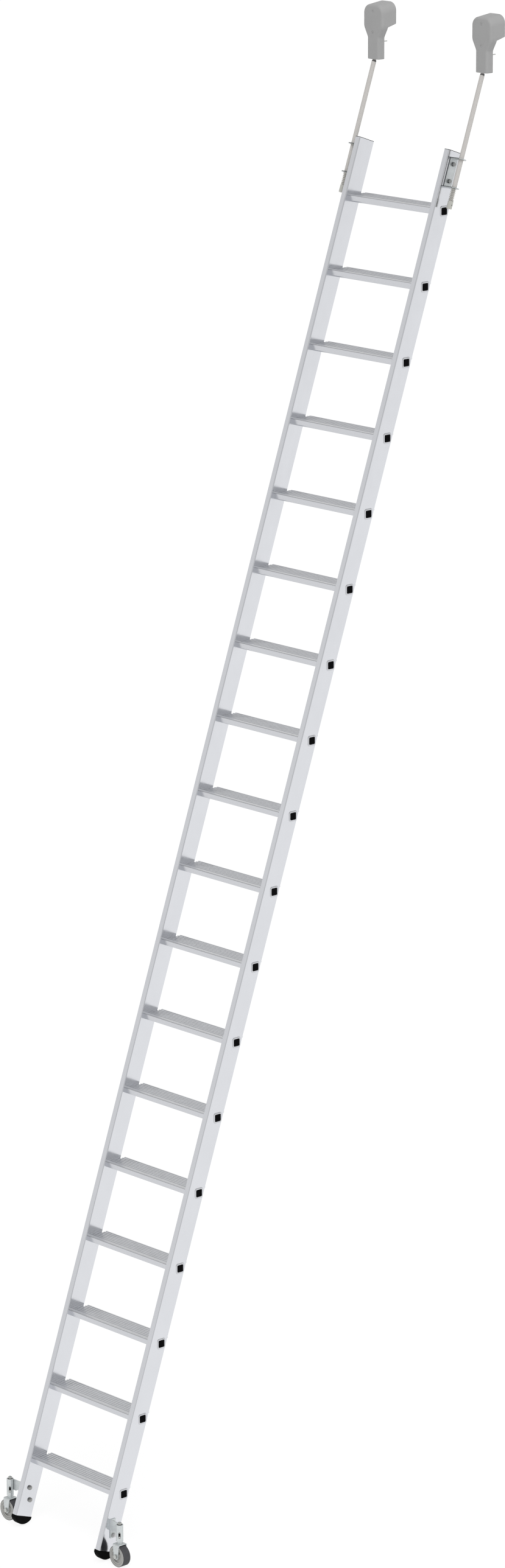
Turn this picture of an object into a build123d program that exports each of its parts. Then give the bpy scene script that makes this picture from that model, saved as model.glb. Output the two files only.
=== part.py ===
from build123d import *
import os
from math import asin, cos, pi, radians, sin, sqrt

# Rolling shelf ladder: leaning stiles with ribbed treads, sprung castors at the foot and sprung rods
# at the top that carry roller heads for a round rail. Millimetres and degrees. X runs to the climber's
# right, Y away from the climber and Z up from the floor.

# Ladder frame
lean_angle = 19.17
outer_width = 490.0
tread_count = 18
tread_pitch = 280.0
first_tread_height = 237.85

# Fits
fit_gap = 0.1
running_gap = 0.05
seat_gap = 0.3

# Stiles
stile_depth = 75.0
stile_thickness = 25.0
stile_wall = 2.2
stile_corner = 4.0
stile_tail = 215.0
stile_head = 215.0
tenon_to_rear = 25.0

# Treads
tread_front = 34.3
tread_rear = 53.2
tread_skin = 2.6
nose_band = 17.0
nose_height = 19.5
nose_radius = 3.0
heel_height = 10.0
rib_count = 6
rib_width = 5.5
rib_height = 1.2
tenon_width = 28.0
tenon_height = 28.0
tenon_wall = 2.0
rim_margin = 6.0
rim_corner = 9.0
rim_proud = 1.8
rim_slope = 58.0
end_plug_depth = 16.0
end_plug_width = 27.0
end_plug_corner = 4.0
end_plug_cap = 1.2
end_plug_bevel = 0.5

# Stile end pieces
top_plug_height = 1.8
top_plug_depth = 26.0
foot_lip = 0.5
foot_drop = 31.5
foot_arc_radius = 46.0
foot_insert_depth = 30.0
foot_edge_radius = 3.0

# Fasteners
bolt_diameter = 8.0
bolt_head_diameter = 16.0
bolt_head_height = 4.5
socket_width = 5.0
socket_depth = 2.6
nut_width = 13.0
nut_height = 6.5
bolt_tip = 2.5
washer_diameter = 16.0
washer_height = 1.6

# Rod guides on the stiles' outer faces
rod_diameter = 17.2
spindle_diameter = 13.0
rod_offset = 37.5
rod_forward = 2.9
guide_drop = 22.0
guide_length = 109.0
guide_width = 37.0
guide_sheet = 3.0
guide_bolt_spacing = 62.0
bush_wall = 1.4
bush_lip_height = 1.0
bush_lip_reach = 1.2

# Sprung rods
rod_reach = 318.0
rod_end = 9.0
rod_bevel = 0.8
collar_diameter = 20.0
collar_length = 28.0
set_screw_diameter = 5.0
set_screw_proud = 0.6
rod_spring_length = 46.0
rod_spring_diameter = 20.5
rod_spring_wire = 2.5
rod_spring_turns = 8
bumper_diameter = 16.0
bumper_length = 5.0
bumper_drop = 26.8

# Roller heads, measured from the pivot of the head on its rod
head_front = 17.5
head_wall = 2.5
stem_depth = 34.0
stem_width = 60.0
stem_drop = 21.0
neck_bottom = 58.0
neck_top = 96.0
hood_width = 101.0
hood_depth = 73.5
hood_top = 177.0
hood_top_rise = 10.5
hood_corner = 32.0
head_edge = 9.0
stem_edge = 6.0
hood_edge = 6.0
stem_foot_edge = 2.2
neck_bottom_round = 16.0
neck_top_round = 40.0
brim_front = 97.0
brim_rear = 108.5
pivot_pin_diameter = 8.0
carrier_sheet = 3.0
cheek_gap = 0.5
cheek_low = 11.0
cheek_high = 40.0
cheek_rear = 11.0
web_low = 16.0
cover_screw_low = 77.0
cover_screw_high = 155.0
cover_screw_diameter = 6.0
cover_screw_head = 9.0
cover_screw_head_height = 1.2
cover_recess_diameter = 10.4
cover_recess_depth = 1.5
web_margin = 10.0
lift_pin_height = 40.0
lift_pin_diameter = 3.5
lift_pin_reach = 38.0
lift_pin_root = 8.0
lift_pin_collar = 12.0

# Rail and the roller that runs on it
rail_diameter = 33.7
rail_behind_pivot = 35.0
rail_height = 83.0
roller_axle_height = 130.0
roller_width = 26.0
roller_flange_land = 2.0
roller_axle_diameter = 10.0
axle_collar_diameter = 16.0
axle_end_height = 2.0
roller_recess = 4.0
roller_recess_inner = 24.0
roller_recess_outer = 46.0

# Sprung castors
castor_offset = 62.4
castor_forward = 73.8
wheel_diameter = 80.0
wheel_width = 32.0
wheel_side_gap = 0.5
tyre_thickness = 1.6
tyre_edge_radius = 0.9
hub_inset = 0.5
hub_recess = 5.0
hub_boss_diameter = 26.0
hub_dish_diameter = 48.0
hub_step = 0.8
hub_groove_diameter = 62.0
hub_groove_width = 2.0
hub_groove_depth = 1.6
axle_diameter = 12.0
axle_head_diameter = 15.0
axle_head_height = 5.0
fork_sheet = 3.5
fork_bend = 5.0
fork_width = 31.0
fork_foot_width = 23.0
fork_crown_gap = 3.0
castor_travel = 8.0
travel_spare = 1.0
tube_length = 63.0
tube_diameter = 26.0
stem_diameter = 20.0
stem_shoulder = 37.5
stud_diameter = 8.0
stud_gap = 0.1
tube_cap_height = 5.0
slot_rise = 13.0
slot_length = 23.5
slot_width = 8.0
slot_direction = 45.0
guide_pin_diameter = 7.0
guide_pin_rise = 1.5
castor_spring_diameter = 19.0
castor_spring_wire = 2.2
castor_spring_turns = 5
bracket_sheet = 4.0
bracket_setback = 7.0
bracket_base_width = 25.0
bracket_base_drop = 10.0
bracket_base_height = 71.5
bracket_web_height = 41.0
bracket_web_drop = 2.0
bracket_arch_radius = 16.0
bracket_arch_height = 5.0
bracket_bolt_setback = 13.0
bracket_bolt_low = 9.6
bracket_bolt_spacing = 47.5

# Springs
spring_end_gap = 0.6
spring_check_steps = 48

# Places that follow from the sizes above
SIDES = {"left": -1, "right": 1}
outer_face = outer_width / 2
inner_face = outer_face - stile_thickness
stile_mid = outer_face - stile_thickness / 2
stile_depth_mid = tenon_to_rear - stile_depth / 2
stile_top = (tread_count - 1) * tread_pitch + stile_head
stile_length = stile_top + stile_tail
stile_bore_width = stile_thickness - 2 * stile_wall
stile_bore_depth = stile_depth - 2 * stile_wall
tread_length = 2 * inner_face
tread_top = tenon_height / 2
tread_floor = tread_top - rib_height
lean_sin = sin(radians(lean_angle))
lean_cos = cos(radians(lean_angle))
leaning = Pos(0, 0, first_tread_height) * Rot(-lean_angle, 0, 0)

rod_x = outer_face + rod_offset
rod_depth = stile_depth_mid - rod_forward
rod_radius = rod_diameter / 2
spindle_radius = spindle_diameter / 2
guide_top = stile_top - guide_drop
guide_bottom = guide_top - guide_length
guide_middle = (guide_top + guide_bottom) / 2
rod_spring_top = guide_bottom - seat_gap
collar_top = rod_spring_top - rod_spring_length - seat_gap
collar_bottom = collar_top - collar_length
rod_low = guide_bottom + guide_sheet + bush_lip_height + seat_gap
pivot_run = stile_top + rod_reach
rod_high = pivot_run - bumper_drop - bumper_length
pivot_y = pivot_run * lean_sin + rod_depth * lean_cos
pivot_z = first_tread_height + pivot_run * lean_cos - rod_depth * lean_sin

stem_rear = stem_depth - head_front
hood_rear = hood_depth - head_front
carrier_front = head_front - head_wall
carrier_half = spindle_radius + cheek_gap + carrier_sheet
roller_groove_radius = rail_diameter / 2 + seat_gap
roller_tread_radius = roller_axle_height - rail_height - roller_groove_radius
groove_half_width = roller_width / 2 - roller_flange_land
groove_depth = roller_groove_radius - sqrt(roller_groove_radius ** 2 - groove_half_width ** 2)
roller_radius = roller_tread_radius + groove_depth
roller_front = rail_behind_pivot - roller_width / 2
roller_rear = rail_behind_pivot + roller_width / 2

castor_x = outer_face + castor_offset
axle_z = wheel_diameter / 2
fork_half = wheel_width / 2 + wheel_side_gap + fork_sheet
fork_top = wheel_diameter + fork_crown_gap + fork_sheet
tube_bottom = fork_top + castor_travel + travel_spare
tube_top = tube_bottom + tube_length
tube_bore = stem_diameter + 2 * running_gap
shoulder_z = fork_top + stem_shoulder
slot_low = tube_bottom + slot_rise
slot_middle = slot_low + slot_length / 2
guide_pin_z = slot_low + guide_pin_diameter / 2 + guide_pin_rise
castor_spring_low = shoulder_z + seat_gap
castor_spring_length = tube_top - tube_cap_height - seat_gap - castor_spring_low
bracket_base_low = tube_bottom - bracket_base_drop
bracket_fold = bracket_setback - castor_forward
bracket_bolt_heights = [bracket_base_low + bracket_bolt_low + k * bracket_bolt_spacing for k in range(2)]
bracket_bolt_y = bracket_fold + bracket_bolt_setback
guide_bolt_runs = [guide_middle + k * guide_bolt_spacing / 2 for k in (-1, 1)]


def block(x, y, z):
    """A box between two limits along each axis."""
    size = [abs(b - a) for a, b in (x, y, z)]
    middle = [(a + b) / 2 for a, b in (x, y, z)]
    return Pos(*middle) * Box(*size)


def bar(u, v):
    """A flat rectangle between two limits along each axis of its sketch plane."""
    return Pos(sum(u) / 2, sum(v) / 2) * Rectangle(abs(u[1] - u[0]), abs(v[1] - v[0]))


def rod_along(axis, start, end, radius):
    """A round bar along an axis, from a start to an end on it, through the origin of the other two."""
    turn = {"x": Rot(0, 90, 0), "y": Rot(-90, 0, 0), "z": Rot(0, 0, 0)}[axis]
    length = abs(end - start)
    middle = {"x": Pos((start + end) / 2, 0, 0), "y": Pos(0, (start + end) / 2, 0)}
    return middle.get(axis, Pos(0, 0, (start + end) / 2)) * turn * Cylinder(radius, length)


def hexagon(axis, start, end, width):
    """A hexagonal nut or bolt head along an axis, with its width across the flats."""
    turn = {"x": Rot(0, 90, 0), "y": Rot(-90, 0, 0), "z": Rot(0, 0, 0)}[axis]
    low = min(start, end)
    place = {"x": Pos(low, 0, 0), "y": Pos(0, low, 0), "z": Pos(0, 0, low)}[axis]
    return place * turn * extrude(RegularPolygon(width / 2, 6, major_radius=False), abs(end - start))


def tenon_place(index):
    """The centre of a tread's tenon, in Y and Z."""
    run = index * tread_pitch
    return run * lean_sin, first_tread_height + run * lean_cos


def stile(side):
    """One hollow stile with its tenon openings and bolt holes."""
    section = RectangleRounded(stile_thickness, stile_depth, stile_corner)
    section -= RectangleRounded(stile_bore_width, stile_bore_depth, stile_corner - stile_wall)
    tube = leaning * Pos(side * stile_mid, stile_depth_mid, -stile_tail) * extrude(section, stile_length)
    cuts = []
    for index in range(tread_count):
        y, z = tenon_place(index)
        opening = Box(2 * stile_thickness, tenon_width + 2 * fit_gap, tenon_height + 2 * fit_gap)
        cuts.append(Pos(side * stile_mid, y, z) * opening)
    hole = bolt_diameter / 2 + fit_gap
    outer_wall = rod_along("x", side * stile_mid, side * (outer_face + stile_wall), hole)
    for run in guide_bolt_runs:
        cuts.append(leaning * Pos(0, rod_depth, run) * outer_wall)
    through = rod_along("x", -stile_thickness, stile_thickness, hole)
    for height in bracket_bolt_heights:
        cuts.append(Pos(side * stile_mid, bracket_bolt_y, height) * through)
    return tube - cuts


def tenon_section():
    """The square tube under the tread that passes through both stiles."""
    tube = Rectangle(tenon_width, tenon_height)
    return tube - Rectangle(tenon_width - 2 * tenon_wall, tenon_height - 2 * tenon_wall)


def tread_section():
    """The extruded tread: ribbed skin, turned-down nose and heel, and a box below in line with the tenon."""
    floor = tread_floor
    section = bar((-tread_front, tread_rear), (floor - tread_skin, floor))
    section += bar((-tread_front, nose_band - tread_front), (floor - tread_skin, tread_top))
    section += bar((-tread_front, tread_skin - tread_front), (tread_top - nose_height, tread_top))
    section += bar((tread_rear - tread_skin, tread_rear), (floor - heel_height, floor))
    half = tenon_width / 2
    section += bar((-half, half), (-tenon_height / 2, floor))
    ribbed = tread_rear + tread_front - nose_band
    rib_pitch = ribbed / rib_count
    for k in range(rib_count):
        rear = tread_rear - k * rib_pitch
        section += bar((rear - rib_width, rear), (floor - tread_skin, tread_top))
    half -= tenon_wall
    section -= bar((-half, half), (tenon_wall - tenon_height / 2, floor - tread_skin))
    nose = section.vertices().sort_by_distance((-tread_front, tread_top))[0]
    return fillet(nose, nose_radius)


def tread(index):
    """One tread with its tenon tube and the flared rims that lock it in the stiles."""
    body = extrude(Plane.YZ * tread_section(), tread_length / 2, both=True)
    rim = RectangleRounded(tenon_width + 2 * rim_margin, tenon_height + 2 * rim_margin, rim_corner)
    opening = Box(4 * rim_proud, tenon_width - 2 * tenon_wall, tenon_height - 2 * tenon_wall)
    for side in SIDES.values():
        root = Plane((side * inner_face, 0, 0), x_dir=(0, 1, 0), z_dir=(side, 0, 0))
        body += extrude(root * tenon_section(), stile_thickness + rim_proud)
        face = Plane((side * outer_face, 0, 0), x_dir=(0, 1, 0), z_dir=(side, 0, 0))
        body += extrude(face * rim, rim_proud, taper=rim_slope) - Pos(side * outer_face, 0, 0) * opening
    y, z = tenon_place(index)
    return Pos(0, y, z) * body


def tread_end_plugs():
    """The black plugs that close both ends of every tenon tube, with caps over the tube's edge."""
    width = tenon_width - 2 * tenon_wall - 2 * fit_gap
    height = tenon_height - 2 * tenon_wall - 2 * fit_gap
    seat = outer_face + rim_proud
    cap = extrude(Plane.YZ * RectangleRounded(end_plug_width, end_plug_width, end_plug_corner), end_plug_cap)
    cap = chamfer(cap.faces().sort_by(Axis.X)[-1].edges(), end_plug_bevel)
    plugs = []
    for side in SIDES.values():
        shape = block((outer_face - end_plug_depth, seat), (-width / 2, width / 2), (-height / 2, height / 2))
        shape += Pos(seat, 0, 0) * cap
        if side < 0:
            shape = mirror(shape, about=Plane.YZ)
        for index in range(tread_count):
            plugs.append(Pos(0, *tenon_place(index)) * shape)
    return plugs


def stile_insert(depth):
    """A solid block that fits the bore of a stile, standing up from its lower face."""
    section = RectangleRounded(stile_bore_width - 2 * fit_gap, stile_bore_depth - 2 * fit_gap,
                               stile_corner - stile_wall - fit_gap)
    return extrude(section, depth)


def stile_top_plug(side):
    """The flat black cap in the top end of a stile."""
    head = extrude(RectangleRounded(stile_thickness, stile_depth, stile_corner), top_plug_height)
    plug = head + Pos(0, 0, -top_plug_depth) * stile_insert(top_plug_depth)
    return leaning * Pos(side * stile_mid, stile_depth_mid, stile_top) * plug


def foot(side):
    """The rubber foot: a rocker-shaped pad with an insert in the stile's lower end."""
    half = stile_depth / 2 + foot_lip
    shoulder = foot_drop - foot_arc_radius + sqrt(foot_arc_radius ** 2 - half ** 2)
    outline = Polyline((-half, -shoulder), (-half, 0), (half, 0), (half, -shoulder))
    outline += ThreePointArc((half, -shoulder), (0, -foot_drop), (-half, -shoulder))
    pad = extrude(Plane.YZ * make_face(outline), stile_thickness / 2 + foot_lip, both=True)
    pad = fillet(pad.edges().filter_by(GeomType.CIRCLE), foot_edge_radius)
    return leaning * Pos(side * stile_mid, stile_depth_mid, -stile_tail) * (pad + stile_insert(foot_insert_depth))


def cross_bolt(side):
    """A bolt through a stile and a castor bracket: domed socket head inside, nut outside."""
    base = bolt_head_diameter / 2
    shank = bolt_diameter / 2
    sphere = (base ** 2 + bolt_head_height ** 2) / (2 * bolt_head_height)
    tip = inner_face - bolt_head_height
    seat = outer_face + bracket_sheet
    end = seat + nut_height + bolt_tip
    half = asin(base / sphere) / 2
    middle = (tip + sphere - sphere * cos(half), sphere * sin(half))
    dome = ThreePointArc((tip, 0), middle, (inner_face, base))
    outline = Polyline((inner_face, base), (inner_face, shank), (end, shank), (end, 0), (tip, 0))
    bolt = revolve(make_face(dome + outline), Axis.X) - hexagon("x", tip, tip + socket_depth, socket_width)
    bolt += hexagon("x", seat, seat + nut_height, nut_width)
    return bolt if side > 0 else mirror(bolt, about=Plane.YZ)


def guide_bolt(side):
    """A hexagon bolt with a washer on a rod guide and a nut behind the stile's outer wall."""
    seat = outer_face + guide_sheet
    crown = seat + washer_height
    wall = outer_face - stile_wall
    bolt = rod_along("x", wall - nut_height - bolt_tip, crown, bolt_diameter / 2)
    bolt += rod_along("x", seat, crown, washer_diameter / 2)
    bolt += hexagon("x", crown, crown + nut_height, nut_width)
    bolt += hexagon("x", wall - nut_height, wall, nut_width)
    return bolt if side > 0 else mirror(bolt, about=Plane.YZ)


def bush_radius(shaft):
    """The outside of a bush that fits a shaft of a given radius."""
    return shaft + running_gap + bush_wall


def rod_guide(side):
    """The folded bracket that guides a rod: base plate and two pierced flanges with round ends."""
    half = guide_width / 2
    base_y = (rod_depth - half, rod_depth + half)
    bracket = block((outer_face, outer_face + guide_sheet), base_y, (guide_bottom, guide_top))
    for low, shaft in ((guide_bottom, spindle_radius), (guide_top - guide_sheet, rod_radius)):
        flange = bar((0, rod_offset), (-half, half)) + Pos(rod_offset, 0) * Circle(half)
        flange -= Pos(rod_offset, 0) * Circle(bush_radius(shaft) + fit_gap)
        bracket += Pos(outer_face, rod_depth, low) * extrude(flange, guide_sheet)
    hole = rod_along("x", outer_face - guide_sheet, outer_face + 2 * guide_sheet, bolt_diameter / 2 + fit_gap)
    for run in guide_bolt_runs:
        bracket -= Pos(0, rod_depth, run) * hole
    if side < 0:
        bracket = mirror(bracket, about=Plane.YZ)
    return leaning * bracket


def rod_guide_sleeves(side):
    """The two lipped bushes in a guide's flanges, in which the rod and its spindle slide."""
    low_lip = guide_bottom + guide_sheet
    high_lip = guide_top - guide_sheet - bush_lip_height
    bushes = []
    ends = ((spindle_radius, guide_bottom, low_lip), (rod_radius, guide_top - guide_sheet, high_lip))
    for shaft, run, lip in ends:
        bore = Circle(shaft + running_gap)
        bush = Pos(0, 0, run) * extrude(Circle(bush_radius(shaft)) - bore, guide_sheet)
        bush += Pos(0, 0, lip) * extrude(Circle(bush_radius(shaft) + bush_lip_reach) - bore, bush_lip_height)
        bushes.append(leaning * Pos(side * rod_x, rod_depth, 0) * bush)
    return bushes


def rod(side):
    """A round rod with a thinner spindle at both ends, from its collar up to the pivot hole of the head."""
    low = collar_bottom
    spindle = Pos(0, 0, low) * extrude(Circle(spindle_radius), pivot_run + rod_end - low)
    spindle = chamfer(spindle.edges().filter_by(GeomType.CIRCLE), rod_bevel)
    body = Pos(0, 0, rod_low) * extrude(Circle(rod_radius), rod_high - rod_low)
    shape = spindle + chamfer(body.edges().filter_by(GeomType.CIRCLE), rod_bevel)
    hole = rod_along("x", -rod_diameter, rod_diameter, pivot_pin_diameter / 2 + running_gap)
    return leaning * Pos(side * rod_x, rod_depth, 0) * (shape - Pos(0, 0, pivot_run) * hole)


def rod_collar(side):
    """The collar that holds the spring on the spindle, with its set screw."""
    hole = Circle(spindle_radius + fit_gap)
    collar = Pos(0, 0, collar_bottom) * extrude(Circle(collar_diameter / 2) - hole, collar_length)
    outward = Pos(0, 0, (collar_bottom + collar_top) / 2) * Rot(0, 0, 90 - 90 * side)
    socket = rod_along("x", spindle_radius, collar_diameter, set_screw_diameter / 2 + fit_gap)
    tip = collar_diameter / 2 + set_screw_proud
    screw = rod_along("x", spindle_radius + fit_gap, tip, set_screw_diameter / 2)
    place = leaning * Pos(side * rod_x, rod_depth, 0)
    return [place * piece for piece in (collar - outward * socket, outward * screw)]


def rod_bumper(side):
    """The black ring on the rod just below the head's stem."""
    ring = Circle(bumper_diameter / 2) - Circle(spindle_radius + fit_gap)
    return leaning * Pos(side * rod_x, rod_depth, rod_high) * extrude(ring, bumper_length)


def biarc(start, start_way, end, end_way):
    """Two arcs that meet smoothly and join two points with a given direction at each."""
    chord = end - start
    ways = start_way + end_way
    spread = 4 - ways.dot(ways)
    along = chord.dot(ways)
    reach = (sqrt(along ** 2 + spread * chord.dot(chord)) - along) / spread
    joint = (start + start_way * reach + end - end_way * reach) * 0.5
    way = (end - end_way * reach - start - start_way * reach).normalized()
    return [Edge.make_tangent_arc(start, start_way, joint), Edge.make_tangent_arc(joint, way, end)]


def coil_rise(turn, turns, wire, length):
    """Height of the wire's centre after some turns: close end turns and even turns between them."""
    close = wire + spring_end_gap
    open_pitch = (length - wire - 2 * close) / (turns - 2)
    if turn <= 1:
        return wire / 2 + close * turn
    if turn >= turns - 1:
        return length - wire / 2 - close * (turns - turn)
    return wire / 2 + close + open_pitch * (turn - 1)


def coil_spring(diameter, wire, turns, length):
    """One unbroken wire wound upwards from its base, with close end turns."""
    radius = (diameter - wire) / 2
    half_turns = 2 * turns

    def point(turn):
        angle = 2 * pi * turn
        return Vector(radius * cos(angle), radius * sin(angle), coil_rise(turn, turns, wire, length))

    def way(turn):
        step = 0.25
        low = max(turn - step, 0)
        high = min(turn + step, turns)
        climb = coil_rise(high, turns, wire, length) - coil_rise(low, turns, wire, length)
        angle = 2 * pi * turn
        turn_length = 2 * pi * radius
        return Vector(-sin(angle) * turn_length, cos(angle) * turn_length, climb / (high - low)).normalized()

    edges = []
    for k in range(half_turns):
        begin, end = k / 2, (k + 1) / 2
        edges += biarc(point(begin), way(begin), point(end), way(end))
    path = Wire(edges)
    section = Plane(origin=point(0), z_dir=way(0)) * Circle(wire / 2)
    return sweep(section, path=path), path


def spring_gap(path, wire, turns):
    """The least gap between one turn of a spring and the next, measured on points of its wire."""
    count = turns * spring_check_steps
    points = [path.position_at(k / count) for k in range(count + 1)]
    apart = spring_check_steps // 2
    pairs = ((a, b) for a in range(count + 1) for b in range(a + apart, min(a + 2 * spring_check_steps, count + 1)))
    return min((points[a] - points[b]).length for a, b in pairs) - wire


def rod_spring(side):
    """The spring that stands on the rod's collar under the guide's lower flange."""
    shape, path = coil_spring(rod_spring_diameter, rod_spring_wire, rod_spring_turns, rod_spring_length)
    print("rod spring least gap", round(spring_gap(path, rod_spring_wire, rod_spring_turns), 2))
    return leaning * Pos(side * rod_x, rod_depth, collar_top + seat_gap) * shape


def castor_spring(side):
    """The spring inside a castor's tube, on the shoulder of the stem."""
    shape, path = coil_spring(castor_spring_diameter, castor_spring_wire, castor_spring_turns,
                              castor_spring_length)
    print("castor spring least gap", round(spring_gap(path, castor_spring_wire, castor_spring_turns), 2))
    return Pos(side * castor_x, -castor_forward, castor_spring_low) * shape


def head_place(side):
    """The pivot of one roller head."""
    return Pos(side * rod_x, pivot_y, pivot_z)


def head_outline(inset, top, low):
    """Front view of a head: round-cornered hood, neck drawn in with soft bends, and straight stem."""
    half_stem = stem_width / 2 - inset
    half_hood = hood_width / 2 - inset
    corner = hood_corner - inset
    peak = top - inset
    shoulder = Polyline((0, low), (half_stem, low), (half_stem, neck_bottom), (half_hood, neck_top),
                        (half_hood, peak - corner))
    arc = RadiusArc((half_hood, peak - corner), (half_hood - corner, peak), -corner)
    lid = Line((half_hood - corner, peak), (0, peak))
    half = make_face(shoulder + arc + lid + Line((0, peak), (0, low)))
    outline = half + mirror(half, about=Plane.YZ)
    for height, radius in ((neck_bottom, neck_bottom_round + inset), (neck_top, neck_top_round - inset)):
        bends = outline.vertices().filter_by_position(Axis.Y, height - fit_gap, height + fit_gap)
        outline = fillet(bends, radius)
    return outline


def edges_near(shape, axis, place):
    """The edges of a shape that lie across an axis at one place on it."""
    return shape.edges().filter_by_position(axis, place - fit_gap, place + fit_gap)


def head_form(inset, low):
    """The head's outer form with its rounded front edge, or its hollow when inset by the wall."""
    face = inset - head_front
    front = Plane((0, face, 0), x_dir=(1, 0, 0), z_dir=(0, -1, 0))
    rear = Plane((0, hood_rear - inset, 0), x_dir=(1, 0, 0), z_dir=(0, -1, 0))
    rear_top = hood_top + hood_top_rise
    outlines = [front * head_outline(inset, hood_top, low), rear * head_outline(inset, rear_top, low)]
    form = loft(outlines, ruled=True)
    edges = [edge for edge in edges_near(form, Axis.Y, face) if edge.center().Z > low + fit_gap]
    return fillet(edges, head_edge - inset)


def soften_head(form):
    """Round the rear edges of the stem and of the hood, and the edge round the stem's foot."""
    stem = [edge for edge in edges_near(form, Axis.Y, stem_rear)
            if fit_gap - stem_drop < edge.center().Z < brim_front - fit_gap]
    form = fillet(stem, stem_edge)
    hood = [edge for edge in edges_near(form, Axis.Y, hood_rear) if edge.center().Z > brim_rear + fit_gap]
    form = fillet(hood, hood_edge)
    return fillet(edges_near(form, Axis.Z, -stem_drop), stem_foot_edge)


def head_cover(side):
    """The moulded cover: a hood open below for the rail, on a hollow stem for the rod."""
    far = 2 * hood_width
    under = Polyline((stem_rear, -far), (stem_rear, brim_front), (hood_rear, brim_rear), (far, brim_rear),
                     (far, -far), close=True)
    outside = head_form(0, -stem_drop) - extrude(Plane.YZ * make_face(under), far, both=True)
    hollow = head_form(head_wall, -2 * stem_drop)
    hollow -= block((-far, far), (stem_rear - head_wall, far), (-far, brim_front))
    back = edges_near(hollow, Axis.Y, hood_rear - head_wall)
    hollow = fillet([edge for edge in back if edge.center().Z > brim_front + fit_gap], hood_edge - head_wall)
    cover = soften_head(outside) - hollow
    recess = rod_along("y", -far, cover_recess_depth - head_front, cover_recess_diameter / 2)
    screw_hole = rod_along("y", -far, 0, cover_screw_diameter / 2 + fit_gap)
    for height in (cover_screw_low, cover_screw_high):
        cover -= Pos(0, 0, height) * (recess + screw_hole)
    cover -= Pos(0, 0, lift_pin_height) * rod_along("y", 0, far, lift_pin_diameter / 2 + fit_gap)
    return head_place(side) * cover


def head_carrier(side):
    """The folded steel carrier behind the cover's front wall, with cheeks for the pivot pin."""
    web_rear = carrier_sheet - carrier_front
    half = (-carrier_half, carrier_half)
    carrier = block(half, (-carrier_front, web_rear), (web_low, cover_screw_high + web_margin))
    for cheek in SIDES.values():
        faces = (cheek * (carrier_half - carrier_sheet), cheek * carrier_half)
        carrier += block(faces, (web_rear, cheek_rear), (-cheek_low, cheek_high))
        carrier += block(faces, (-carrier_front, web_rear), (web_low, cheek_high))
    carrier -= rod_along("x", -hood_width, hood_width, pivot_pin_diameter / 2 + fit_gap)
    holes = [(cover_screw_low, cover_screw_diameter), (cover_screw_high, cover_screw_diameter),
             (roller_axle_height, roller_axle_diameter)]
    for height, diameter in holes:
        carrier -= Pos(0, 0, height) * rod_along("y", -hood_width, 0, diameter / 2 + fit_gap)
    return head_place(side) * carrier


def head_pins(side):
    """The pivot pin, the pin that stops the head lifting off the rail, and the roller's axle."""
    pivot = rod_along("x", -carrier_half, carrier_half, pivot_pin_diameter / 2)
    root = stem_rear - head_wall - lift_pin_root
    lift = rod_along("y", root, stem_rear + lift_pin_reach, lift_pin_diameter / 2)
    lift += rod_along("y", root, stem_rear - head_wall, lift_pin_collar / 2)
    web_rear = carrier_sheet - carrier_front
    axle = rod_along("y", -carrier_front, roller_rear + seat_gap + axle_end_height, roller_axle_diameter / 2)
    axle += rod_along("y", web_rear, roller_front - seat_gap, axle_collar_diameter / 2)
    axle += rod_along("y", roller_rear + seat_gap, roller_rear + seat_gap + axle_end_height,
                      axle_collar_diameter / 2)
    return [head_place(side) * pivot, head_place(side) * Pos(0, 0, lift_pin_height) * lift,
            head_place(side) * Pos(0, 0, roller_axle_height) * axle]


def head_screws(side):
    """The screws that hold the cover on its carrier."""
    seat = cover_recess_depth - head_front
    shank = rod_along("y", seat, carrier_sheet - carrier_front, cover_screw_diameter / 2)
    screw = shank + rod_along("y", seat - cover_screw_head_height, seat, cover_screw_head / 2)
    return [head_place(side) * Pos(0, 0, height) * screw for height in (cover_screw_low, cover_screw_high)]


def rail_roller(side):
    """The grooved roller that runs along a round rail."""
    half = roller_width / 2
    bore = roller_axle_diameter / 2 + running_gap
    floor = half - roller_recess
    inner = roller_recess_inner / 2
    outer = roller_recess_outer / 2
    outline = Polyline((roller_radius, groove_half_width), (roller_radius, half), (outer, half), (outer, floor),
                       (inner, floor), (inner, half), (bore, half), (bore, -half), (inner, -half),
                       (inner, -floor), (outer, -floor), (outer, -half), (roller_radius, -half),
                       (roller_radius, -groove_half_width))
    groove = ThreePointArc((roller_radius, -groove_half_width), (roller_tread_radius, 0),
                           (roller_radius, groove_half_width))
    wheel = revolve(make_face(outline + groove), Axis.Y)
    return head_place(side) * Pos(0, rail_behind_pivot, roller_axle_height) * wheel


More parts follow.
